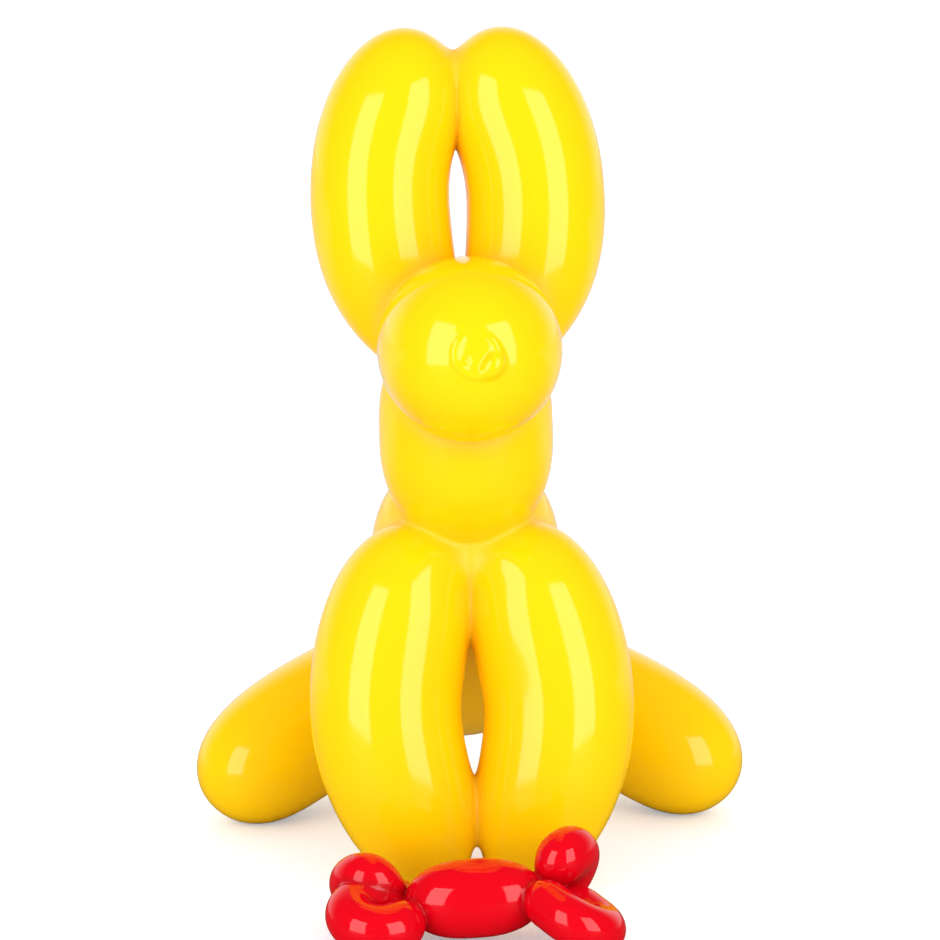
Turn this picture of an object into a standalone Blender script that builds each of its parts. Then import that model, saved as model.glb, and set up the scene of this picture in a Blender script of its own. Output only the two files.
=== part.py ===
# A sitting balloon dog with a balloon bone at its paws, two glossy castings.
# Metres, +Z up: the dog faces -Y and both pieces stand on the floor at z = 0.
import math

import bmesh
import bpy
from mathutils import Vector

# Overall sizes and how the bone lies by the dog
dog_height = 0.300
bone_length = 0.105
bone_gap = 0.0075  # clear floor between the front paws and the bone
bone_shift = -0.005  # how far the bone's middle lies to the dog's left, so less than 0 is right

# Facets round a bubble and rings along it
bubble_sides = 22
bubble_rings = 18
small_sides = 14
small_rings = 12
lip_sides = 10
lip_rings = 20
weld_distance = 0.00001
sharp_angle = math.radians(40)
floor_block_heights = 4  # side of the block that trims what stands on the floor, in dog heights

# The dog's pose and proportions as shares of its height: across, back and up.
# A bubble has its two ends, its radius, how far its middle bows out, the power of the
# bow and how full each end is. A pair gives half the space between its two bubbles.
ear_root = (-0.009, 0.083, 0.600)
ear_tip = (-0.018, 0.150, 0.978)
ear_root_half = -0.001
ear_tip_half = 0.011
ear_radius = 0.081
ear_bow = 0.086
ear_bow_power = 2.5
ear_fullness = (2.3, 6.5)

leg_top = (-0.007, 0.067, 0.421)
leg_foot = (0.001, -0.007, 0.002)
leg_top_half = 0.044
leg_foot_half = 0.034
leg_radius = 0.0884
leg_bow = 0.0636
leg_bow_power = 1.6
leg_fullness = (3.8, 2.6)

hind_root = (0.014, 0.500, 0.144)
hind_foot = (0.014, 0.265, 0.035)
hind_foot_half = 0.318
hind_radius = 0.084
hind_bow = 0.012
hind_lift = (0.025, 0.027)  # how far the right and the left one bow up
hind_fullness = (4.0, 4.1)

snout_back = (-0.011, 0.100, 0.638)
snout_front = (-0.011, -0.166, 0.663)
snout_radius = 0.105
snout_fullness = 2.6

neck_top = (-0.010, 0.055, 0.655)
neck_foot = (-0.004, 0.062, 0.398)
neck_radius = 0.102
neck_bow = 0.020
neck_fullness = (3.4, 2.3)

body_front = (-0.007, 0.057, 0.455)
body_back = (0.016, 0.530, 0.118)
body_radius = 0.115
body_fullness = (5.5, 6.0)

tail_root = (0.017, 0.480, 0.200)
tail_tip = (0.017, 0.625, 0.330)
tail_radius = 0.040
tail_fullness = 3.4

# The tied end on the snout's front: a lip curled round a hollow
knot_across = -0.0015  # the curl's middle, across from the snout's tip
knot_rise = 0.004  # and above it
hollow_radius = 0.030
hollow_sink = 0.009  # how deep the hollow goes into the front
hollow_rise = 0.008  # the hollow's middle above the curl's
lip_curl_radius = 0.023
lip_start = math.radians(60)
lip_end = math.radians(-235)
lip_thickness = 0.006
lip_swell = 0.004  # how much thicker the lip is at its lobe, low on the dog's left
lip_swell_at = math.radians(-35)
lip_swell_width = math.radians(28)
lip_taper_power = 8  # how suddenly the lip's two ends close
lip_sink = 0.003

# The bone's proportions as shares of its length, from the floor below its middle.
# Left and right are the dog's own. A loop has the place of its twist, the way it runs out,
# the way its two halves lie apart, the straight run of a half and its radius.
middle_right = (-0.222, 0.012, 0.126)
middle_left = (0.228, -0.030, 0.160)
middle_radius = 0.128
middle_fullness_right = 2.7
middle_fullness_left = 2.5
front_right_loop = ((-0.221, 0.005, 0.118), (-0.83, -0.54, -0.115), (-0.55, 0.79, 0.25), 0.109, 0.084)
back_right_loop = ((-0.222, 0.062, 0.144), (-0.80, 0.52, -0.07), (0.40, 0.66, -0.66), 0.084, 0.086)
front_left_loop = ((0.2375, -0.0135, 0.1518), (0.56, -0.78, -0.265), (0.70, 0.62, -0.34), 0.161, 0.078)
back_left_loop = ((0.238, 0.045, 0.154), (0.52, 0.34, 0.52), (0.16, 0.80, -0.60), 0.060, 0.085)
twist_share = 0.25  # radius of a loop at its twist, as a share of its full radius
swell_run = 1.25  # a loop reaches its full radius this many radii from the twist
loop_slit = 0.0003  # half the slit between a loop's two halves

dog_colour = (1.0, 0.72, 0.01, 1.0)
bone_colour = (0.80, 0.005, 0.02, 1.0)
gloss_roughness = 0.06


def clear_scene():
    for thing in list(bpy.data.objects):
        bpy.data.objects.remove(thing)


def new_collection(name):
    collection = bpy.data.collections.new(name)
    bpy.context.scene.collection.children.link(collection)
    return collection


def gloss(name, colour):
    material = bpy.data.materials.new(name)
    material.use_nodes = True
    shader = material.node_tree.nodes["Principled BSDF"]
    shader.inputs["Base Color"].default_value = colour
    shader.inputs["Roughness"].default_value = gloss_roughness
    shader.inputs["Metallic"].default_value = 0.0
    return material


def evaluated_mesh(thing):
    bpy.context.view_layer.update()
    graph = bpy.context.evaluated_depsgraph_get()
    return bpy.data.meshes.new_from_object(thing.evaluated_get(graph))


def weld(mesh):
    # Closes a tube's loose caps and its pointed ends.
    work = bmesh.new()
    work.from_mesh(mesh)
    bmesh.ops.remove_doubles(work, verts=work.verts, dist=weld_distance)
    bmesh.ops.recalc_face_normals(work, faces=work.faces)
    work.to_mesh(mesh)
    work.free()


def tube(name, points, radii, sides):
    # A round tube along the points with its own radius at each, as a closed mesh.
    curve = bpy.data.curves.new(name, "CURVE")
    curve.dimensions = "3D"
    curve.bevel_depth = max(radii)
    curve.bevel_resolution = sides // 2 - 2
    curve.use_fill_caps = True
    line = curve.splines.new("POLY")
    line.points.add(len(points) - 1)
    for point, place, radius in zip(line.points, points, radii):
        point.co = (*place, 1.0)
        point.radius = radius / curve.bevel_depth
    path = bpy.data.objects.new(name + " path", curve)
    parts.objects.link(path)
    piece = bpy.data.objects.new(name, evaluated_mesh(path))
    piece.matrix_world = path.matrix_world
    parts.objects.link(piece)
    bpy.data.objects.remove(path)
    weld(piece.data)
    return piece


def spread(count):
    # Shares from 0 to 1 that lie closer together near both ends.
    return [0.5 - 0.5 * math.cos(math.pi * i / (count - 1)) for i in range(count)]


def bubble(name, start, end, radius, fullness, bow=Vector(), bow_power=2.0,
           sides=bubble_sides, rings=bubble_rings):
    # With m = |2u - 1|, the centreline bows out by 1 - m ** power from the straight line
    # and the radius is sqrt(1 - m ** fullness): a fuller end has the higher fullness.
    points = []
    radii = []
    for share in spread(rings):
        middle = abs(2 * share - 1)
        full = fullness[0] if share < 0.5 else fullness[1]
        points.append(start.lerp(end, share) + bow * (1 - middle ** bow_power))
        radii.append(radius * math.sqrt(1 - middle ** full))
    return tube(name, points, radii, sides)


def on_dog(place, across=0.0):
    return (Vector(place) + Vector((across, 0, 0))) * dog_height


def ear(name, side):
    return bubble(
        name,
        on_dog(ear_root, side * ear_root_half),
        on_dog(ear_tip, side * ear_tip_half),
        ear_radius * dog_height,
        ear_fullness,
        Vector((side * ear_bow * dog_height, 0, 0)),
        ear_bow_power,
    )


def front_leg(name, side):
    return bubble(
        name,
        on_dog(leg_top, side * leg_top_half),
        on_dog(leg_foot, side * leg_foot_half),
        leg_radius * dog_height,
        leg_fullness,
        Vector((side * leg_bow * dog_height, 0, 0)),
        leg_bow_power,
    )


def hind_leg(name, side, lift):
    return bubble(
        name,
        on_dog(hind_root),
        on_dog(hind_foot, side * hind_foot_half),
        hind_radius * dog_height,
        hind_fullness,
        Vector((side * hind_bow, 0, lift)) * dog_height,
    )


def single(name, start, end, radius, fullness, bow=Vector()):
    return bubble(name, on_dog(start), on_dog(end), radius * dog_height, fullness, bow)


def knot_axes():
    # The snout's own directions at its front: out, across to the dog's left and up.
    out = (on_dog(snout_front) - on_dog(snout_back)).normalized()
    across = Vector((1, 0, 0)) - out * out.x
    across.normalize()
    return out, across, out.cross(across)


def on_snout_front(right, rise):
    # A place on the snout's rounded front, given across and up from its tip.
    out, across, up = knot_axes()
    tip = on_dog(snout_front)
    length = (tip - on_dog(snout_back)).length
    off_axis = min(math.hypot(right, rise) / (snout_radius * dog_height), 1)
    back = length * (1 - (1 - off_axis ** 2) ** (1 / snout_fullness)) / 2
    return tip + across * right + up * rise - out * back


def knot_lip():
    out = knot_axes()[0]
    points = []
    radii = []
    for share in spread(lip_rings):
        turn = lip_start + (lip_end - lip_start) * share
        right = (knot_across + lip_curl_radius * math.cos(turn)) * dog_height
        rise = (lip_curl_radius * math.sin(turn) + knot_rise) * dog_height
        points.append(on_snout_front(right, rise) - out * lip_sink * dog_height)
        swell = lip_swell * math.exp(-((turn - lip_swell_at) / lip_swell_width) ** 2)
        taper = math.sqrt(1 - abs(2 * share - 1) ** lip_taper_power)
        radii.append((lip_thickness + swell) * taper * dog_height)
    return tube("knot lip", points, radii, lip_sides)


def knot_hollow():
    out = knot_axes()[0]
    place = on_snout_front(knot_across * dog_height, (hollow_rise + knot_rise) * dog_height)
    bpy.ops.mesh.primitive_uv_sphere_add(
        segments=small_sides,
        ring_count=small_rings,
        radius=hollow_radius * dog_height,
        location=place + out * (hollow_radius - hollow_sink) * dog_height,
    )
    return bpy.context.object


def loop(name, middle, twist, outward, sideways, run, radius):
    # A bubble folded double: out from the twist, round a half circle and back, with a
    # slit between its halves that keeps the same width all the way.
    radius = radius * bone_length
    run = run * bone_length
    outward = Vector(outward).normalized()
    sideways = (Vector(sideways) - outward * outward.dot(Vector(sideways))).normalized()
    start = middle + Vector(twist) * bone_length
    bend = radius + loop_slit
    half = run + bend * math.pi / 2
    near = []
    far = []
    radii = []
    for i in range(small_rings):
        gone = half * i / (small_rings - 0.5)
        swell = min(gone / (swell_run * radius), 1)
        here = radius * (twist_share + (1 - twist_share) * math.sin(swell * math.pi / 2))
        turn = max(gone - run, 0) / bend
        along = min(gone, run) + bend * math.sin(turn)
        apart = (here + loop_slit) * math.cos(turn)
        near.append(start + outward * along - sideways * apart)
        far.append(start + outward * along + sideways * apart)
        radii.append(here)
    return tube(name, near + far[::-1], radii + radii[::-1], small_sides)


def bone_bubbles(middle):
    pieces = [
        bubble(
            "bone middle",
            middle + Vector(middle_right) * bone_length,
            middle + Vector(middle_left) * bone_length,
            middle_radius * bone_length,
            (middle_fullness_right, middle_fullness_left),
            sides=small_sides + 2,
            rings=small_rings,
        )
    ]
    loops = (front_right_loop, back_right_loop, front_left_loop, back_left_loop)
    for number, shape in enumerate(loops):
        pieces.append(loop(f"bone loop {number + 1}", middle, *shape))
    return pieces


def change(thing, operation, other, solver="EXACT"):
    # Joins the other piece to this one, or cuts it away, and uses it up.
    boolean = thing.modifiers.new(other.name, "BOOLEAN")
    boolean.operation = operation
    boolean.solver = solver
    boolean.object = other
    mesh = evaluated_mesh(thing)
    thing.modifiers.clear()
    thing.data = mesh
    bpy.data.objects.remove(other)


def reach(thing, axis, pick):
    return pick(vertex.co[axis] for vertex in thing.data.vertices)


def cut_flat(thing, floor_cutter):
    # Leaves small flats where the rounded paws and loops meet the floor.
    flat = thing.modifiers.new("Floor", "BOOLEAN")
    flat.operation = "DIFFERENCE"
    flat.solver = "EXACT"
    flat.object = floor_cutter


def floor_block():
    # A cube under the floor, as wide as several dogs, with its top at z = 0.
    size = floor_block_heights * dog_height
    bpy.ops.mesh.primitive_cube_add(size=size, location=(0, 0, -size / 2))
    block = bpy.context.object
    block.name = "floor_cutter"
    block.display_type = "WIRE"
    block.hide_render = True
    for collection in block.users_collection:
        collection.objects.unlink(block)
    cutters.objects.link(block)
    return block


def finish(thing, material):
    thing.data.materials.clear()
    thing.data.materials.append(material)
    thing.data.shade_smooth()
    thing.data.set_sharp_from_angle(angle=sharp_angle)


def build_dog():
    dog = single("balloon_dog", body_front, body_back, body_radius, body_fullness)
    legs = [front_leg("right front leg", -1), front_leg("left front leg", 1)]
    paw_front = min(reach(leg, 1, min) for leg in legs)
    neck_push = Vector((0, neck_bow * dog_height, 0))
    neck = single("neck", neck_top, neck_foot, neck_radius, neck_fullness, neck_push)
    snout = single("snout", snout_back, snout_front, snout_radius, (snout_fullness,) * 2)
    change(snout, "DIFFERENCE", knot_hollow())
    change(snout, "UNION", knot_lip())
    tail = single("tail", tail_root, tail_tip, tail_radius, (tail_fullness,) * 2)
    ears = [ear("right ear", -1), ear("left ear", 1)]
    hind = [
        hind_leg("right hind leg", -1, hind_lift[0]),
        hind_leg("left hind leg", 1, hind_lift[1]),
    ]
    # An ear crosses snout, neck and body at once, a join that EXACT can lose entirely.
    for piece in legs + hind + [neck, snout, tail] + ears:
        change(dog, "UNION", piece, "MANIFOLD")
    return dog, paw_front


def build_bone(paw_front):
    pieces = bone_bubbles(Vector((bone_shift, 0, 0)))
    back = max(reach(piece, 1, max) for piece in pieces)
    bone = pieces[0]
    for piece in pieces[1:]:
        change(bone, "UNION", piece)
    bone.name = "balloon_bone"
    for vertex in bone.data.vertices:
        vertex.co.y += paw_front - bone_gap - back
    return bone


def centre_on_origin(things):
    # Puts the middle of everything's box above the origin, by one parent empty.
    low = [min(reach(thing, axis, min) for thing in things) for axis in (0, 1)]
    high = [max(reach(thing, axis, max) for thing in things) for axis in (0, 1)]
    group = bpy.data.objects.new("balloon_dog_group", None)
    parts.objects.link(group)
    group.location = (-(low[0] + high[0]) / 2, -(low[1] + high[1]) / 2, 0)
    for thing in things:
        thing.parent = group


clear_scene()
parts = new_collection("Balloon dog sculpture")
cutters = new_collection("Cutters")
dog, paw_front = build_dog()
bone = build_bone(paw_front)
centre_on_origin([dog, bone])
floor_cutter = floor_block()
for thing, name, colour in ((dog, "Yellow gloss", dog_colour), (bone, "Red gloss", bone_colour)):
    cut_flat(thing, floor_cutter)
    finish(thing, gloss(name, colour))
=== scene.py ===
# A sitting balloon dog in yellow lacquer with its red balloon bone, on a pale studio floor.
# Metres, +Z up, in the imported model's own frame: the dog faces -Y.
import math

import bmesh
import bpy
import numpy as np
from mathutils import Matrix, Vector


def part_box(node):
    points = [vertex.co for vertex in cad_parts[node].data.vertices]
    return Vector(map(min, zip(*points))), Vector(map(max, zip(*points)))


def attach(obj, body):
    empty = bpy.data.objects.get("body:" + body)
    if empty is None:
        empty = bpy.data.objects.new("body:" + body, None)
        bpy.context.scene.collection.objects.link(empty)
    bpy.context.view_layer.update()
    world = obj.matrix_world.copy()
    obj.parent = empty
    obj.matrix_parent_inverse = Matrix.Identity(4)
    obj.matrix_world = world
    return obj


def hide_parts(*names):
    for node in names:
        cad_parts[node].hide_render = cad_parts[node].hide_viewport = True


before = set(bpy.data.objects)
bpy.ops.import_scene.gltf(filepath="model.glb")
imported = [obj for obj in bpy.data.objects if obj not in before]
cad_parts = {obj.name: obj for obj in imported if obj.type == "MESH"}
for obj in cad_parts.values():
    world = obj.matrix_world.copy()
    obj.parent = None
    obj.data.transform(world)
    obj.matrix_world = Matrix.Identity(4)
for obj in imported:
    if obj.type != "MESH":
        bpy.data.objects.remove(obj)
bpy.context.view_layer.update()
print("frame loaded")


# Depths under a skin: lengths, less than 0 inside

depthWork = {
    "bowRound": 0.3,  # share of the half length over which a bow's middle is rounded off
    "newtonSteps": 4,
    "leastChange": 0.3,  # share of the squared slope that a step is divided by at least
    "shareEnds": (-0.5, 1.5),  # how far past its ends a centreline is followed
    "leastSlope": 1e-6,
    "tiny": 1e-9,
    "margin": 0.012,  # past this far from a bubble its depth isn't worked out
}


def bowShare(share, power):
    # How far out a bow is at share u, 1 at the middle and 0 at the ends: 1 - m ** power with
    # m = |2u - 1|, rounded off at the middle. Gives the value and its two derivatives.
    soft = depthWork["bowRound"]
    half = power / 2
    top = soft**power
    whole = (1 + soft**2) ** half - top
    swing = 2 * share - 1
    base = swing**2 + soft**2
    value = 1 - (base**half - top) / whole
    slope = -4 * half * swing * base ** (half - 1) / whole
    bend = -8 * half * (base ** (half - 1) + 2 * (half - 1) * swing**2 * base ** (half - 2)) / whole
    return value, slope, bend


def centreline(bubble, share):
    # start + (end - start) u + bow * bowShare(u), with its first and second derivatives.
    value, slope, bend = (column[:, None] for column in bowShare(share, bubble["bowPower"]))
    chord = bubble["end"] - bubble["start"]
    place = bubble["start"] + chord * share[:, None] + bubble["bow"] * value
    return place, chord + bubble["bow"] * slope, bubble["bow"] * bend


def bubbleDepth(points, bubble):
    # With u the share of the centreline nearest to a point, rho the distance to it and
    # r(u)**2 = R**2 (1 - |2u - 1| ** fullness), the depth is (rho**2 - r**2) over its slope.
    chord = bubble["end"] - bubble["start"]
    length = np.linalg.norm(chord)
    middle = (bubble["start"] + bubble["end"]) / 2
    away = np.linalg.norm(points - middle, axis=1) - length / 2 - bubble["radius"]
    depth = away + 0.0
    near = away < depthWork["margin"]
    points = points[near]
    share = (points - bubble["start"]) @ chord / length**2
    least = depthWork["leastChange"]
    for step in range(depthWork["newtonSteps"]):
        place, slope, bend = centreline(bubble, share)
        gap = place - points
        steep = (slope * slope).sum(axis=1)
        change = np.maximum(steep + (gap * bend).sum(axis=1), steep * least)
        share = np.clip(share - (gap * slope).sum(axis=1) / change, *depthWork["shareEnds"])
    place, slope, bend = centreline(bubble, share)
    gap = points - place
    steep = (slope * slope).sum(axis=1)
    change = np.maximum(steep - (gap * bend).sum(axis=1), length**2 * least)
    swing = 2 * share - 1
    full = np.where(swing < 0, *bubble["fullness"])
    square = bubble["radius"] ** 2
    value = (gap * gap).sum(axis=1) - square * (1 - np.abs(swing) ** full)
    fall = 2 * square * full * np.abs(swing) ** (full - 1) * np.sign(swing)
    steepest = 2 * gap + (fall / change)[:, None] * slope
    steep = np.linalg.norm(steepest, axis=1)
    depth[near] = value / np.maximum(steep, depthWork["leastSlope"])
    return depth


def strandDepth(points, centres, radii):
    # A row of overlapping balls: the least |p - c| - r, with a parabola through the three
    # nearest balls so that the row reads as one smooth skin.
    middle = centres.mean(axis=0)
    reach = np.linalg.norm(centres - middle, axis=1).max() + radii.max()
    away = np.linalg.norm(points - middle, axis=1) - reach
    depth = away + 0.0
    near = away < depthWork["margin"]
    gaps = np.linalg.norm(points[near][:, None] - centres[None], axis=2) - radii
    nearest = np.clip(gaps.argmin(axis=1), 1, len(radii) - 2)
    rows = np.arange(len(gaps))
    before, here, after = (gaps[rows, nearest + step] for step in (-1, 0, 1))
    curve = np.maximum(before - 2 * here + after, depthWork["tiny"])
    shift = np.clip((before - after) / (2 * curve), -1, 1)
    depth[near] = here + (after - before) * shift / 2 + curve * shift**2 / 2
    return depth


def softJoin(first, second, reach):
    # The lesser depth, with the crease filled: less reach * h**3 / 6 where the two differ by
    # less than reach, h = 1 - |first - second| / reach.
    near = np.maximum(1 - np.abs(first - second) / np.maximum(reach, depthWork["tiny"]), 0)
    return np.minimum(first, second) - reach * near**3 / 6


def smoothStep(value, start, end):
    # 0 at start, 1 at end, s**2 (3 - 2 s) between.
    share = np.clip((value - start) / (end - start), 0, 1)
    return share**2 * (3 - 2 * share)


def softCut(first, second, reach):
    # What is left of the first outside the second.
    return -softJoin(-first, second, reach)


# Skins: tubes carried along a path, made one mesh and settled onto their joined depth

skinWork = {
    "tubeSides": 32,
    "tubeRings": 40,
    "tubeEnd": 0.499,  # how near its ends a tube is drawn, 0.5 being the end itself
    "nudge": 0.00002,  # step for measuring a slope
    "leastSlope": 0.3,
    "mostMove": 0.0015,
    "firstSteps": 2,  # settling steps for the new mesh
    "evening": 0.5,  # how far points move towards their neighbours' mean, then when made finer
    "finerEvening": 0.4,
    "finerLimits": (0.02, 0.35),  # how near a crease or the knot is made twice and four times finer
}


def carriedTube(centres, radii, sides=skinWork["tubeSides"]):
    # A circle of radius r carried along the centres, square to the path, closed at both ends.
    along = np.gradient(centres, axis=0)
    along /= np.linalg.norm(along, axis=1)[:, None]
    flattest = np.eye(3)[np.abs(along).max(axis=0).argmin()]
    across = np.cross(along, flattest)
    across /= np.linalg.norm(across, axis=1)[:, None]
    up = np.cross(across, along)
    turn = np.linspace(0, 2 * np.pi, sides, endpoint=False)[None, :, None]
    rings = centres[:, None] + radii[:, None, None] * (
        across[:, None] * np.cos(turn) + up[:, None] * np.sin(turn)
    )
    ring, side = np.meshgrid(np.arange(len(centres) - 1), np.arange(sides), indexing="ij")
    here = ring * sides + side
    beside = ring * sides + (side + 1) % sides
    quads = np.stack([here, here + sides, beside + sides, beside], axis=-1).reshape(-1, 4)
    points = np.concatenate([rings.reshape(-1, 3), centres[[0, -1]]])
    edge = np.arange(sides)
    last = (len(centres) - 1) * sides
    first = np.full(sides, len(points) - 2)
    final = np.full(sides, len(points) - 1)
    caps = [
        np.stack([first, edge, (edge + 1) % sides], axis=1),
        np.stack([final, last + (edge + 1) % sides, last + edge], axis=1),
    ]
    return points, quads.tolist() + np.concatenate(caps).tolist()


def bubbleTube(bubble):
    # The same radius r(u) = R sqrt(1 - |2u - 1| ** fullness), rings closer together at the ends.
    share = 0.5 - skinWork["tubeEnd"] * np.cos(np.linspace(0, np.pi, skinWork["tubeRings"]))
    swing = 2 * share - 1
    full = np.where(swing < 0, *bubble["fullness"])
    radii = bubble["radius"] * np.sqrt(1 - np.abs(swing) ** full)
    return carriedTube(centreline(bubble, share)[0], radii)


def meshPoints(mesh):
    points = np.empty(len(mesh.vertices) * 3)
    mesh.vertices.foreach_get("co", points)
    return points.reshape(-1, 3)


def setPoints(mesh, points):
    mesh.vertices.foreach_set("co", points.ravel())
    mesh.update()


def joinedMesh(name, tubes, voxel, keep):
    # All the tubes as one closed skin of small quads, thinned to the share of faces to keep.
    points = []
    faces = []
    for tubePoints, tubeFaces in tubes:
        faces += [[corner + len(points) for corner in face] for face in tubeFaces]
        points += tubePoints.tolist()
    mesh = bpy.data.meshes.new(name)
    mesh.from_pydata(points, [], faces)
    thing = bpy.data.objects.new(name, mesh)
    bpy.context.collection.objects.link(thing)
    remesh = thing.modifiers.new("Joined", "REMESH")
    remesh.mode = "VOXEL"
    remesh.voxel_size = voxel
    thin = thing.modifiers.new("Thinned", "DECIMATE")
    thin.ratio = keep
    bpy.context.view_layer.update()
    graph = bpy.context.evaluated_depsgraph_get()
    thing.data = bpy.data.meshes.new_from_object(thing.evaluated_get(graph))
    thing.modifiers.clear()
    return thing


def settle(points, depth, steps):
    # Moves points along the depth's slope until their depth is 0. The slope is the change of
    # the depth over a nudge along each axis.
    nudge = skinWork["nudge"]
    for step in range(steps):
        here = depth(points)
        grown = [depth(points + way) - here for way in np.eye(3) * nudge]
        slope = np.stack(grown, axis=1) / nudge
        steep = np.maximum(np.linalg.norm(slope, axis=1), skinWork["leastSlope"])
        move = np.clip(here / steep, -skinWork["mostMove"], skinWork["mostMove"])
        points = points - slope * (move / steep)[:, None]
    return points


def outwardNormals(points, depth):
    # The depth's slope from its values a nudge to both sides, as directions of length 1.
    nudge = skinWork["nudge"]
    grown = [depth(points + way) - depth(points - way) for way in np.eye(3) * nudge]
    slope = np.stack(grown, axis=1)
    return slope / np.linalg.norm(slope, axis=1)[:, None]


def evened(mesh, points, share):
    # Moves each point part of the way to the mean of its neighbours.
    ends = np.empty(len(mesh.edges) * 2, dtype=int)
    mesh.edges.foreach_get("vertices", ends)
    ends = ends.reshape(-1, 2)
    count = np.bincount(ends.ravel(), minlength=len(points))
    others = points[ends[:, ::-1].ravel()]
    total = [np.bincount(ends.ravel(), others[:, axis], len(points)) for axis in range(3)]
    return points + (np.stack(total, axis=1) / count[:, None] - points) * share


def makeFiner(mesh, wanted):
    # Splits every edge whose two ends are wanted.
    work = bmesh.new()
    work.from_mesh(mesh)
    ends = np.empty(len(mesh.edges) * 2, dtype=int)
    mesh.edges.foreach_get("vertices", ends)
    picked = np.flatnonzero(wanted[ends.reshape(-1, 2)].all(axis=1))
    work.edges.ensure_lookup_table()
    edges = [work.edges[index] for index in picked]
    bmesh.ops.subdivide_edges(work, edges=edges, cuts=1, use_grid_fill=True)
    work.to_mesh(mesh)
    work.free()


def fitted(points, low, high):
    # Stretches the few hundredths of a millimetre that bring the skin's box onto the node's box.
    own = points.min(axis=0), points.max(axis=0)
    return low + (points - own[0]) * (high - low) / (own[1] - own[0])


def castSkin(name, tubes, shape, depth, crease, finer, node):
    # One cast skin: joined, settled, made finer in its creases, then settled again.
    thing = joinedMesh(name, tubes, shape["voxel"], shape["keep"])
    mesh = thing.data
    points = settle(meshPoints(mesh), depth, skinWork["firstSteps"])
    points = settle(evened(mesh, points, skinWork["evening"]), depth, 1)
    for limit in skinWork["finerLimits"]:
        setPoints(mesh, points)
        makeFiner(mesh, finer(points) > limit)
        points = settle(meshPoints(mesh), depth, 1)
        points = settle(evened(mesh, points, skinWork["finerEvening"]), depth, 1)
    points = settle(points, depth, 1)
    normals = outwardNormals(points, depth)
    # The crease mask: painted shade in the colour and duller gloss near creases
    creaseShadeAndHaze = mesh.attributes.new("crease", "FLOAT", "POINT")
    creaseShadeAndHaze.data.foreach_set("value", crease(points))
    low, high = (np.array(corner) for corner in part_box(node))
    setPoints(mesh, fitted(points, low, high))
    mesh.shade_smooth()
    mesh.normals_split_custom_set_from_vertices(normals)
    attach(thing, "root")
    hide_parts(node)
    triangles = sum(len(face.vertices) - 2 for face in mesh.polygons)
    print(name, "has", triangles, "triangles")
    return thing


# The dog: places and sizes as shares of its height, across, back and up

dogShape = {
    "height": 0.300,
    "earRoot": (-0.009, 0.083, 0.600),
    "earTip": (-0.018, 0.150, 0.978),
    "earHalves": (-0.001, 0.011),  # half the space between the ears at root and tip
    "earRadius": 0.081,
    "earBow": 0.086,
    "earBowPower": 2.5,
    "earFullness": (2.3, 6.5),
    "legTop": (-0.007, 0.067, 0.421),
    "legFoot": (0.001, -0.007, 0.002),
    "legHalves": (0.044, 0.034),
    "legRadius": 0.0884,
    "legBow": 0.0636,
    "legBowPower": 1.6,
    "legFullness": (3.8, 2.6),
    "hindRoot": (0.014, 0.500, 0.144),
    "hindFoot": (0.014, 0.265, 0.035),
    "hindFootHalf": 0.318,
    "hindRadius": 0.084,
    "hindBow": (0.012, 0.025, 0.027),  # outwards, and up on the right and the left
    "hindFullness": (4.0, 4.1),
    "snoutBack": (-0.011, 0.100, 0.638),
    "snoutFront": (-0.011, -0.166, 0.663),
    "snoutRadius": 0.105,
    "snoutFullness": 2.6,
    "neckTop": (-0.010, 0.055, 0.655),
    "neckFoot": (-0.004, 0.062, 0.398),
    "neckRadius": 0.102,
    "neckBow": 0.020,
    "neckFullness": (3.4, 2.3),
    "bodyFront": (-0.007, 0.057, 0.455),
    "bodyBack": (0.016, 0.530, 0.118),
    "bodyRadius": 0.115,
    "bodyFullness": (5.5, 6.0),
    "tailRoot": (0.017, 0.480, 0.200),
    "tailTip": (0.017, 0.625, 0.330),
    "tailRadius": 0.040,
    "tailFullness": 3.4,
    # how softly two bubbles run together; a pair's reach grows by the first number of each
    # step between the two heights after it, and swells for the legs between three heights
    "earCrease": 0.003,
    "earCreaseSteps": ((0.026, 0.925, 0.975),),
    "legCrease": 0.004,
    "legCreaseSteps": ((0.026, 0.035, 0.060), (0.076, 0.345, 0.410)),
    "legCreaseSwell": (0.024, 0.180, 0.237, 0.300),
    "joinCrease": 0.008,
    "neckCrease": 0.020,
    "floorRound": 0.002,
    "creaseReach": 0.020,  # how far from a crease the crease mask reaches; it paints shade into the colour and dulls the gloss
    "floorNear": 0.003,  # the mesh is made finer below this height in metres, this strongly
    "floorFiner": 0.3,
    "voxel": 0.0010,  # mesh size, fine enough for the two gaps
    "keep": 0.115,  # share of its faces that is kept
}

knotShape = {
    "across": -0.0015,
    "rise": 0.004,
    "hollowRadius": 0.080,
    "hollowSink": 0.0030,
    "hollowRise": 0.008,
    "curlRadius": 0.023,
    "start": math.radians(60),
    "end": math.radians(-235),
    "lipThickness": 0.0055,
    "lobeSwell": 0.007,
    "lobeAt": math.radians(-35),
    "lobeWidth": math.radians(32),
    "lipSink": 0.0035,
    "beadRadius": 0.0040,  # the balloon's own mouth, a bead inside the curl
    "beadAt": (-0.012, -0.008),
    "soft": 0.007,
    "samples": 60,  # along the lip, which ends as 1 - |2u - 1| ** endPower
    "endPower": 8,
    "leastRadius": 0.0002,  # of its tube, in metres
    "tubeSides": 12,
    "finerReach": 0.045,  # how far out the mesh is made finer, and how strongly
    "finerWeight": 3,
}


def makeBubble(start, end, radius, fullness, bow=(0, 0, 0), bowPower=2.0):
    size = dogShape["height"]
    return {
        "start": np.array(start) * size,
        "end": np.array(end) * size,
        "radius": radius * size,
        "fullness": fullness,
        "bow": np.array(bow) * size,
        "bowPower": bowPower,
    }


def shifted(place, across):
    return (place[0] + across, place[1], place[2])


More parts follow.
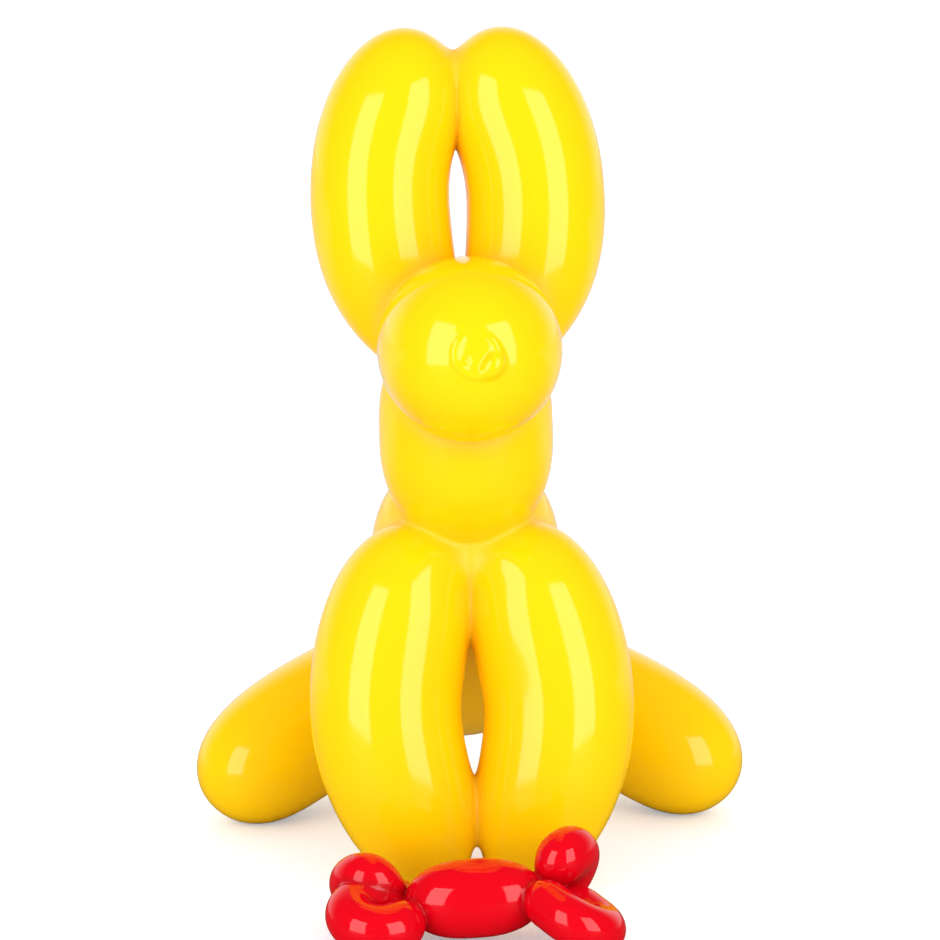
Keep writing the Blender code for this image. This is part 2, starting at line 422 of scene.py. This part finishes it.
def dogBubbles():
    s = dogShape
    bubbles = {
        "body": makeBubble(s["bodyFront"], s["bodyBack"], s["bodyRadius"], s["bodyFullness"]),
        "neck": makeBubble(
            s["neckTop"], s["neckFoot"], s["neckRadius"], s["neckFullness"], (0, s["neckBow"], 0)
        ),
        "snout": makeBubble(
            s["snoutBack"], s["snoutFront"], s["snoutRadius"], (s["snoutFullness"],) * 2
        ),
        "tail": makeBubble(s["tailRoot"], s["tailTip"], s["tailRadius"], (s["tailFullness"],) * 2),
    }
    for name, side, lift in (("Right", -1, s["hindBow"][1]), ("Left", 1, s["hindBow"][2])):
        bubbles["ear" + name] = makeBubble(
            shifted(s["earRoot"], side * s["earHalves"][0]),
            shifted(s["earTip"], side * s["earHalves"][1]),
            s["earRadius"],
            s["earFullness"],
            (side * s["earBow"], 0, 0),
            s["earBowPower"],
        )
        bubbles["leg" + name] = makeBubble(
            shifted(s["legTop"], side * s["legHalves"][0]),
            shifted(s["legFoot"], side * s["legHalves"][1]),
            s["legRadius"],
            s["legFullness"],
            (side * s["legBow"], 0, 0),
            s["legBowPower"],
        )
        bubbles["hind" + name] = makeBubble(
            s["hindRoot"],
            shifted(s["hindFoot"], side * s["hindFootHalf"]),
            s["hindRadius"],
            s["hindFullness"],
            (side * s["hindBow"][0], 0, lift),
        )
    return bubbles


def onSnoutFront(snout, right, rise):
    # Places on the snout's rounded front, given across and up from its tip: with q the
    # distance from the axis over R, it lies length (1 - (1 - q**2) ** (1 / fullness)) / 2 back.
    out = snout["end"] - snout["start"]
    length = np.linalg.norm(out)
    out = out / length
    across = np.array([1.0, 0, 0]) - out * out[0]
    across /= np.linalg.norm(across)
    up = np.cross(out, across)
    q = np.minimum(np.hypot(right, rise) / snout["radius"], 1)
    back = length * (1 - (1 - q**2) ** (1 / snout["fullness"][1])) / 2
    place = snout["end"] + np.outer(right, across) + np.outer(rise, up) - np.outer(back, out)
    return place, out


def knotParts(snout):
    # The tied end: a lip curled round a shallow hollow, thicker at its lobe, with a bead in it.
    k = knotShape
    size = dogShape["height"]
    share = 0.5 - 0.5 * np.cos(np.linspace(0, np.pi, k["samples"]))
    turn = k["start"] + (k["end"] - k["start"]) * share
    right = (k["across"] + k["curlRadius"] * np.cos(turn)) * size
    rise = (k["curlRadius"] * np.sin(turn) + k["rise"]) * size
    lip, out = onSnoutFront(snout, right, rise)
    swell = k["lobeSwell"] * np.exp(-(((turn - k["lobeAt"]) / k["lobeWidth"]) ** 2))
    ends = np.sqrt(1 - np.abs(2 * share - 1) ** k["endPower"])
    radii = (k["lipThickness"] + swell) * ends * size
    lip = lip - out * k["lipSink"] * size
    spot, out = onSnoutFront(snout, k["across"] * size, (k["hollowRise"] + k["rise"]) * size)
    hollow = spot[0] + out * (k["hollowRadius"] - k["hollowSink"]) * size
    bead, out = onSnoutFront(
        snout, (k["across"] + k["beadAt"][0]) * size, (k["beadAt"][1] + k["rise"]) * size
    )
    middle = onSnoutFront(snout, k["across"] * size, k["rise"] * size)[0][0]
    return {
        "lip": lip,
        "radii": radii,
        "hollow": hollow,
        "bead": bead[0] - out * k["lipSink"] * size,
        "middle": middle,
    }


def ballDepth(points, middle, radius):
    return np.linalg.norm(points - middle, axis=1) - radius


def makeDog():
    s = dogShape
    k = knotShape
    size = s["height"]
    bubbles = dogBubbles()
    knot = knotParts(bubbles["snout"])
    paws = np.array([bubbles["legRight"]["end"], bubbles["legLeft"]["end"]])
    low, high = (np.array(corner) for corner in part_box("balloon_dog"))
    tubes = [bubbleTube(bubble) for bubble in bubbles.values()]
    own = np.concatenate([points for points, faces in tubes])
    place = (low + high) / 2 - (own.min(axis=0) + own.max(axis=0)) / 2
    place[2] = 0
    print("dog placed at", place.round(4), "paws at", (paws + place).round(4).tolist())
    for bubble in bubbles.values():
        bubble["start"] = bubble["start"] + place
        bubble["end"] = bubble["end"] + place
    for name in ("lip", "hollow", "bead", "middle"):
        knot[name] = knot[name] + place
    tubes = [bubbleTube(bubble) for bubble in bubbles.values()]
    lipRadii = np.maximum(knot["radii"], k["leastRadius"])
    tubes.append(carriedTube(knot["lip"], lipRadii, k["tubeSides"]))

    def softness(rise, least, steps):
        # The least reach plus the growth of each step.
        return least + sum(grown * smoothStep(rise, start, end) for grown, start, end in steps)

    def earSoftness(rise):
        return softness(rise, s["earCrease"], s["earCreaseSteps"])

    def legSoftness(rise):
        swell, low, middle, high = s["legCreaseSwell"]
        swell = swell * smoothStep(rise, low, middle) * smoothStep(rise, high, middle)
        return softness(rise, s["legCrease"], s["legCreaseSteps"]) + swell

    def depth(points):
        each = {name: bubbleDepth(points, bubble) for name, bubble in bubbles.items()}
        soft = k["soft"] * size
        hollow = ballDepth(points, knot["hollow"], k["hollowRadius"] * size)
        snout = softCut(each["snout"], hollow, soft)
        snout = softJoin(snout, strandDepth(points, knot["lip"], knot["radii"]), soft)
        snout = softJoin(snout, ballDepth(points, knot["bead"], k["beadRadius"] * size), soft)
        join = s["joinCrease"] * size
        whole = softJoin(each["body"], each["neck"], join)
        whole = softJoin(whole, each["tail"], join)
        whole = softJoin(whole, softJoin(each["hindRight"], each["hindLeft"], join), join)
        rise = points[:, 2] / size
        legs = softJoin(each["legRight"], each["legLeft"], legSoftness(rise) * size)
        whole = softJoin(whole, legs, s["neckCrease"] * size)
        whole = softJoin(whole, snout, join)
        ears = softJoin(each["earRight"], each["earLeft"], earSoftness(rise) * size)
        whole = softJoin(whole, ears, join)
        return softCut(whole, points[:, 2], s["floorRound"] * size)

    def crease(points):
        # 1 at a crease, 0 as far as the reach: painted shade in the colour and duller gloss
        each = np.sort([bubbleDepth(points, bubble) for bubble in bubbles.values()], axis=0)
        return np.clip(1 - (each[1] - each[0]) / (s["creaseReach"] * size), 0, 1)

    def finer(points):
        knotNear = 1 - ballDepth(points, knot["middle"], 0) / (k["finerReach"] * size)
        floorNear = s["floorFiner"] * (points[:, 2] < s["floorNear"])
        creaseNear = crease(points) ** 2
        return np.maximum(np.maximum(creaseNear, knotNear * k["finerWeight"]), floorNear)

    return castSkin("balloonDogSkin", tubes, s, depth, crease, finer, "balloon_dog")


# The bone: places and sizes as shares of its length, from the floor below its middle

boneShape = {
    "length": 0.105,
    "middleRight": (-0.222, 0.012, 0.126),
    "middleLeft": (0.228, -0.030, 0.160),
    "middleRadius": 0.128,
    "middleFullness": (2.7, 2.5),
    # a loop has its twist, its way out, the way its halves lie apart, its run and its radius
    "loops": (
        ((-0.221, 0.005, 0.118), (-0.83, -0.54, -0.115), (-0.55, 0.79, 0.25), 0.109, 0.084),
        ((-0.222, 0.062, 0.144), (-0.80, 0.52, -0.07), (0.40, 0.66, -0.66), 0.084, 0.086),
        ((0.2375, -0.0135, 0.1518), (0.56, -0.78, -0.265), (0.70, 0.62, -0.34), 0.161, 0.078),
        ((0.238, 0.045, 0.154), (0.52, 0.34, 0.52), (0.16, 0.80, -0.60), 0.060, 0.085),
    ),
    "twistShare": 0.25,
    "swellRun": 1.25,
    "slitHalf": 0.0003,
    "slitSoft": 0.0024,  # how softly a loop's two halves run together
    "slitFade": 0.7,  # over how much of its radius the slit ends before the bend
    "onSkin": 0.0005,  # how near a loop counts as on it
    "samples": 44,
    "joinSoft": 0.0016,
    "floorRound": 0.0006,
    # how far from a crease or a loop's slit the crease mask reaches: painted shade and duller gloss
    "creaseReach": 0.0025,
    "voxel": 0.0007,
    "keep": 0.45,
}


def unit(way):
    way = np.array(way, dtype=float)
    return way / np.linalg.norm(way)


def foldedBubble(twist, outward, sideways, run, radius):
    # A bubble folded double: out from the twist, round a half circle of radius R + slit and back.
    # The radius swells as R (0.25 + 0.75 sin) from the twist, and each half lies its own radius
    # plus half the slit from the middle plane.
    b = boneShape
    size = b["length"]
    radius = radius * size
    run = run * size
    outward = unit(outward)
    sideways = unit(np.array(sideways) - outward * (outward @ np.array(sideways)))
    bend = radius + b["slitHalf"]
    gone = np.linspace(0, run + bend * np.pi / 2, b["samples"])
    swell = np.minimum(gone / (b["swellRun"] * radius), 1)
    radii = radius * (b["twistShare"] + (1 - b["twistShare"]) * np.sin(swell * np.pi / 2))
    turn = np.maximum(gone - run, 0) / bend
    along = np.outer(np.minimum(gone, run) + bend * np.sin(turn), outward)
    apart = np.outer((radii + b["slitHalf"]) * np.cos(turn), sideways)
    start = np.array(twist) * size
    return {
        "near": start + along - apart,
        "far": start + along + apart,
        "radii": radii,
        "start": start,
        "outward": outward,
        "fadeAt": run,
        "fadeOver": b["slitFade"] * radius,
    }


def slitShare(points, loop):
    # 1 where a loop's two halves lie side by side, fading to 0 where they meet in the bend.
    along = (points - loop["start"]) @ loop["outward"]
    return np.clip(1 - (along - loop["fadeAt"]) / loop["fadeOver"], 0, 1)


def makeBone():
    b = boneShape
    size = b["length"]
    middle = {
        "start": np.array(b["middleRight"]) * size,
        "end": np.array(b["middleLeft"]) * size,
        "radius": b["middleRadius"] * size,
        "fullness": b["middleFullness"],
        "bow": np.zeros(3),
        "bowPower": 2.0,
    }
    loops = [foldedBubble(*values) for values in b["loops"]]

    def loopTube(loop):
        centres = np.concatenate([loop["near"], loop["far"][-2::-1]])
        return carriedTube(centres, np.concatenate([loop["radii"], loop["radii"][-2::-1]]))

    tubes = [bubbleTube(middle)] + [loopTube(loop) for loop in loops]
    own = np.concatenate([points for points, faces in tubes])
    low, high = (np.array(corner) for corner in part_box("balloon_bone"))
    place = (low + high) / 2 - (own.min(axis=0) + own.max(axis=0)) / 2
    place[2] = 0
    print("bone placed at", place.round(4))
    for name in ("start", "end"):
        middle[name] = middle[name] + place
    for loop in loops:
        for name in ("near", "far", "start"):
            loop[name] = loop[name] + place
    tubes = [bubbleTube(middle)] + [loopTube(loop) for loop in loops]

    def halves(points):
        return [
            tuple(strandDepth(points, loop[half], loop["radii"]) for half in ("near", "far"))
            for loop in loops
        ]

    def depth(points):
        whole = bubbleDepth(points, middle)
        for loop, (near, far) in zip(loops, halves(points)):
            soft = b["slitSoft"] * slitShare(points, loop)
            whole = softJoin(whole, softJoin(near, far, soft), b["joinSoft"])
        return softCut(whole, points[:, 2], b["floorRound"])

    def crease(points):
        pairs = halves(points)
        depths = [bubbleDepth(points, middle)] + [np.minimum(*pair) for pair in pairs]
        each = np.sort(depths, axis=0)
        found = np.clip(1 - (each[1] - each[0]) / b["creaseReach"], 0, 1)
        for loop, (near, far) in zip(loops, pairs):
            onLoop = np.minimum(near, far) < b["onSkin"]
            slit = np.clip(1 - np.abs(near - far) / b["creaseReach"], 0, 1)
            found = np.maximum(found, slit * slitShare(points, loop) * onLoop)
        return found

    return castSkin("balloonBoneSkin", tubes, b, depth, crease, crease, "balloon_bone")


# The camera, the floor and the lights

cameraView = {
    "azimuth": math.radians(-4.0),
    "elevation": math.radians(11.5),
    "aim": (-0.0065, -0.0494, 0.1508),
    "distance": 1.3832,
    "lens": 153.2,
    "sensor": 36,
}


def makeCamera():
    view = cameraView
    a, e = view["azimuth"], view["elevation"]
    back = Vector((math.sin(a) * math.cos(e), -math.cos(a) * math.cos(e), math.sin(e)))
    data = bpy.data.cameras.new("studioCamera")
    data.sensor_width = view["sensor"]
    data.lens = view["lens"]
    camera = bpy.data.objects.new("studioCamera", data)
    camera.location = Vector(view["aim"]) + back * view["distance"]
    camera.rotation_euler = back.to_track_quat("Z", "Y").to_euler()
    bpy.context.collection.objects.link(camera)
    bpy.context.scene.camera = camera


softboxes = {
    # azimuth and elevation in degrees as seen from the dog, size in metres, strength
    "leftBox": (-43.5, 7.0, 0.68, 1.62, 2.8),
    "rightBox": (35.0, 7.0, 0.70, 1.62, 2.8),
}
softboxDistance = 1.2
softboxAim = (0.0, -0.028, 0.14)


def makeSoftbox(name, azimuth, elevation, width, height, strength):
    # A rectangle that faces the dog; its strength is the light of each square metre over pi.
    a, e = math.radians(azimuth), math.radians(elevation)
    back = Vector((math.sin(a) * math.cos(e), -math.cos(a) * math.cos(e), math.sin(e)))
    data = bpy.data.lights.new(name, "AREA")
    data.shape = "RECTANGLE"
    data.size = width
    data.size_y = height
    data.energy = strength * math.pi * width * height
    lamp = bpy.data.objects.new(name, data)
    lamp.location = Vector(softboxAim) + back * softboxDistance
    lamp.rotation_euler = back.to_track_quat("Z", "Y").to_euler()
    bpy.context.collection.objects.link(lamp)


worldLight = {
    "behind": 1.0,
    "around": 0.05,  # how bright the room is in front of the dog and above it
    "from": 0.1,
    "to": 0.8,
    "upShare": -0.5,
    "fill": 0.86,  # soft light from all round, too dim to show as a reflection
}


def makeWorld():
    # The camera sees white. Reflections see a room that is white behind the dog and dark in front
    # of and above it: smoothstep of y + upShare z of the direction, between the two limits.
    world = bpy.data.worlds.new("whiteStudio")
    world.use_nodes = True
    bpy.context.scene.world = world
    nodes = world.node_tree.nodes
    links = world.node_tree.links
    background = nodes["Background"]
    background.inputs["Color"].default_value = (1, 1, 1, 1)
    place = nodes.new("ShaderNodeTexCoord")
    split = nodes.new("ShaderNodeSeparateXYZ")
    links.new(place.outputs["Generated"], split.inputs[0])
    lift = nodes.new("ShaderNodeMath")
    lift.operation = "MULTIPLY_ADD"
    lift.inputs[1].default_value = worldLight["upShare"]
    links.new(split.outputs["Z"], lift.inputs[0])
    links.new(split.outputs["Y"], lift.inputs[2])
    ramp = nodes.new("ShaderNodeMapRange")
    ramp.interpolation_type = "SMOOTHSTEP"
    ramp.inputs["From Min"].default_value = worldLight["from"]
    ramp.inputs["From Max"].default_value = worldLight["to"]
    ramp.inputs["To Min"].default_value = worldLight["around"]
    ramp.inputs["To Max"].default_value = worldLight["behind"]
    links.new(lift.outputs[0], ramp.inputs["Value"])
    path = nodes.new("ShaderNodeLightPath")
    fill = nodes.new("ShaderNodeMath")
    fill.operation = "MULTIPLY_ADD"
    links.new(path.outputs["Is Glossy Ray"], fill.inputs[0])
    fill.inputs[1].default_value = -worldLight["fill"]
    fill.inputs[2].default_value = worldLight["fill"]
    light = nodes.new("ShaderNodeMath")
    links.new(fill.outputs[0], light.inputs[0])
    links.new(ramp.outputs[0], light.inputs[1])
    seen = nodes.new("ShaderNodeMath")
    seen.operation = "MAXIMUM"
    links.new(path.outputs["Is Camera Ray"], seen.inputs[0])
    links.new(light.outputs[0], seen.inputs[1])
    links.new(seen.outputs[0], background.inputs["Strength"])


floorFinish = {
    "size": 16.0,
    "roughness": 0.6,
    "seen": 0.86,  # how pale the floor is
    # light the camera sees on it besides, as in a picture cut out on white, a little cool
    # against the dog's yellow light
    "glow": 0.36,
    "glowColour": (0.72, 0.86, 1.0, 1.0),
    "front": 0.05,  # how pale it is in the dog's own reflections, before it and behind it
    "behind": 0.60,
    "change": (0.0, 0.45),
}


def makeFloor():
    # One wide plane. Its grey in reflections is a smoothstep along y.
    f = floorFinish
    half = f["size"] / 2
    mesh = bpy.data.meshes.new("studioFloor")
    corners = [(-half, -half, 0), (half, -half, 0), (half, half, 0), (-half, half, 0)]
    mesh.from_pydata(corners, [], [(0, 1, 2, 3)])
    floor = bpy.data.objects.new("studioFloor", mesh)
    bpy.context.collection.objects.link(floor)
    material = bpy.data.materials.new("studioWhite")
    material.use_nodes = True
    nodes, links = material.node_tree.nodes, material.node_tree.links
    shader = nodes["Principled BSDF"]
    shader.inputs["Roughness"].default_value = f["roughness"]
    place = nodes.new("ShaderNodeTexCoord")
    split = nodes.new("ShaderNodeSeparateXYZ")
    links.new(place.outputs["Object"], split.inputs[0])
    ramp = nodes.new("ShaderNodeMapRange")
    ramp.interpolation_type = "SMOOTHSTEP"
    ramp.inputs["From Min"].default_value, ramp.inputs["From Max"].default_value = f["change"]
    ramp.inputs["To Min"].default_value = f["front"]
    ramp.inputs["To Max"].default_value = f["behind"]
    links.new(split.outputs["Y"], ramp.inputs["Value"])
    path = nodes.new("ShaderNodeLightPath")
    pick = nodes.new("ShaderNodeMix")
    links.new(path.outputs["Is Glossy Ray"], pick.inputs["Factor"])
    pick.inputs["A"].default_value = f["seen"]
    links.new(ramp.outputs[0], pick.inputs["B"])
    links.new(pick.outputs["Result"], shader.inputs["Base Color"])
    glow = nodes.new("ShaderNodeMath")
    glow.operation = "MULTIPLY"
    glow.inputs[1].default_value = f["glow"]
    links.new(path.outputs["Is Camera Ray"], glow.inputs[0])
    shader.inputs["Emission Color"].default_value = f["glowColour"]
    links.new(glow.outputs[0], shader.inputs["Emission Strength"])
    mesh.materials.append(material)


# The finishes: a gloss lacquer over one colour, with painted shade in the creases, where the colour
# is mixed deeper

lacquerWork = {
    "mottleDetail": 3.0,
    "hazeScale": 55.0,
    "hazeDetail": 4.0,
    "waveDetail": 2.0,
    "waveHeight": 0.000006,
    "refraction": 1.5,
}


def lacquerGroup():
    # Colour: the base mixed with the deeper colour by slow mottling, a random tone, and by the
    # crease, which is painted shade. Roughness: the gloss with a little uneven haze, and duller in
    # the creases, where the lacquer gathered.
    # Height: the faint waviness of sprayed lacquer.
    group = bpy.data.node_groups.new("sprayedLacquer", "ShaderNodeTree")
    face = group.interface
    for name, kind, value in (
        ("Colour", "NodeSocketColor", (1, 1, 1, 1)),
        ("Mottle And Shade Colour", "NodeSocketColor", (1, 1, 1, 1)),
        ("Crease", "NodeSocketFloat", 0.0),
        ("Mottle Scale", "NodeSocketFloat", 30.0),
        ("Mottle Share", "NodeSocketFloat", 0.3),
        ("Crease Shade Share", "NodeSocketFloat", 0.6),
        ("Gloss", "NodeSocketFloat", 0.06),
        ("Haze", "NodeSocketFloat", 0.03),
        ("Crease Haze", "NodeSocketFloat", 0.1),
        ("Wave Scale", "NodeSocketFloat", 260.0),
    ):
        socket = face.new_socket(name, in_out="INPUT", socket_type=kind)
        socket.default_value = value
    face.new_socket("Colour", in_out="OUTPUT", socket_type="NodeSocketColor")
    face.new_socket("Roughness", in_out="OUTPUT", socket_type="NodeSocketFloat")
    face.new_socket("Height", in_out="OUTPUT", socket_type="NodeSocketFloat")
    nodes, links = group.nodes, group.links
    given = nodes.new("NodeGroupInput")
    out = nodes.new("NodeGroupOutput")
    place = nodes.new("ShaderNodeTexCoord")

    def noise(scale, detail):
        texture = nodes.new("ShaderNodeTexNoise")
        texture.inputs["Detail"].default_value = detail
        links.new(place.outputs["Object"], texture.inputs["Vector"])
        if isinstance(scale, float):
            texture.inputs["Scale"].default_value = scale
        else:
            links.new(scale, texture.inputs["Scale"])
        return texture.outputs["Fac"]

    def combine(operation, *values):
        node = nodes.new("ShaderNodeMath")
        node.operation = operation
        for socket, value in zip(node.inputs, values):
            if isinstance(value, float):
                socket.default_value = value
            else:
                links.new(value, socket)
        return node.outputs[0]

    w = lacquerWork
    mottle = noise(given.outputs["Mottle Scale"], w["mottleDetail"])
    depth = combine("MULTIPLY", mottle, given.outputs["Mottle Share"])
    # the crease mask mixes in the deeper colour: painted shade in the creases
    depth = combine("MULTIPLY_ADD", given.outputs["Crease"], given.outputs["Crease Shade Share"], depth)
    mix = nodes.new("ShaderNodeMix")
    mix.data_type = "RGBA"
    mix.clamp_factor = True
    links.new(depth, mix.inputs["Factor"])
    links.new(given.outputs["Colour"], mix.inputs["A"])
    links.new(given.outputs["Mottle And Shade Colour"], mix.inputs["B"])
    links.new(mix.outputs["Result"], out.inputs["Colour"])
    haze = noise(w["hazeScale"], w["hazeDetail"])
    rough = combine("MULTIPLY_ADD", haze, given.outputs["Haze"], given.outputs["Gloss"])
    rough = combine("MULTIPLY_ADD", given.outputs["Crease"], given.outputs["Crease Haze"], rough)
    links.new(rough, out.inputs["Roughness"])
    links.new(noise(given.outputs["Wave Scale"], w["waveDetail"]), out.inputs["Height"])
    return group


yellowFinish = {
    "Colour": (0.98, 0.60, 0.002, 1.0),
    # the second colour comes in by random mottle and, as painted shade, in the creases
    "Mottle And Shade Colour": (0.93, 0.46, 0.001, 1.0),
    "Mottle Share": 0.12,
    "Crease Shade Share": 0.30,
    "Gloss": 0.09,
    "Crease Haze": 0.40,
}

redFinish = {
    "Colour": (0.68, 0.0008, 0.008, 1.0),
    # the second colour comes in by random mottle and, as painted shade, in the creases and the
    # loops' slits
    "Mottle And Shade Colour": (0.42, 0.0008, 0.004, 1.0),
    "Mottle Scale": 60.0,
    "Mottle Share": 0.12,
    "Crease Shade Share": 0.6,
    "Gloss": 0.06,
}


def lacquer(name, group, finish):
    material = bpy.data.materials.new(name)
    material.use_nodes = True
    nodes, links = material.node_tree.nodes, material.node_tree.links
    shader = nodes["Principled BSDF"]
    shader.inputs["IOR"].default_value = lacquerWork["refraction"]
    coat = nodes.new("ShaderNodeGroup")
    coat.node_tree = group
    for socket, value in finish.items():
        coat.inputs[socket].default_value = value
    crease = nodes.new("ShaderNodeAttribute")
    crease.attribute_name = "crease"
    bump = nodes.new("ShaderNodeBump")
    bump.inputs["Distance"].default_value = lacquerWork["waveHeight"]
    links.new(crease.outputs["Fac"], coat.inputs["Crease"])
    links.new(coat.outputs["Colour"], shader.inputs["Base Color"])
    links.new(coat.outputs["Roughness"], shader.inputs["Roughness"])
    links.new(coat.outputs["Height"], bump.inputs["Height"])
    links.new(bump.outputs["Normal"], shader.inputs["Normal"])
    return material


makeCamera()
makeWorld()
for name, values in softboxes.items():
    makeSoftbox(name, *values)
makeFloor()
bpy.context.scene.view_settings.view_transform = "Standard"
print("studio ready")

group = lacquerGroup()
dog = makeDog()
dog.data.materials.append(lacquer("yellowLacquer", group, yellowFinish))
bone = makeBone()
bone.data.materials.append(lacquer("redLacquer", group, redFinish))
print("pieces finished")
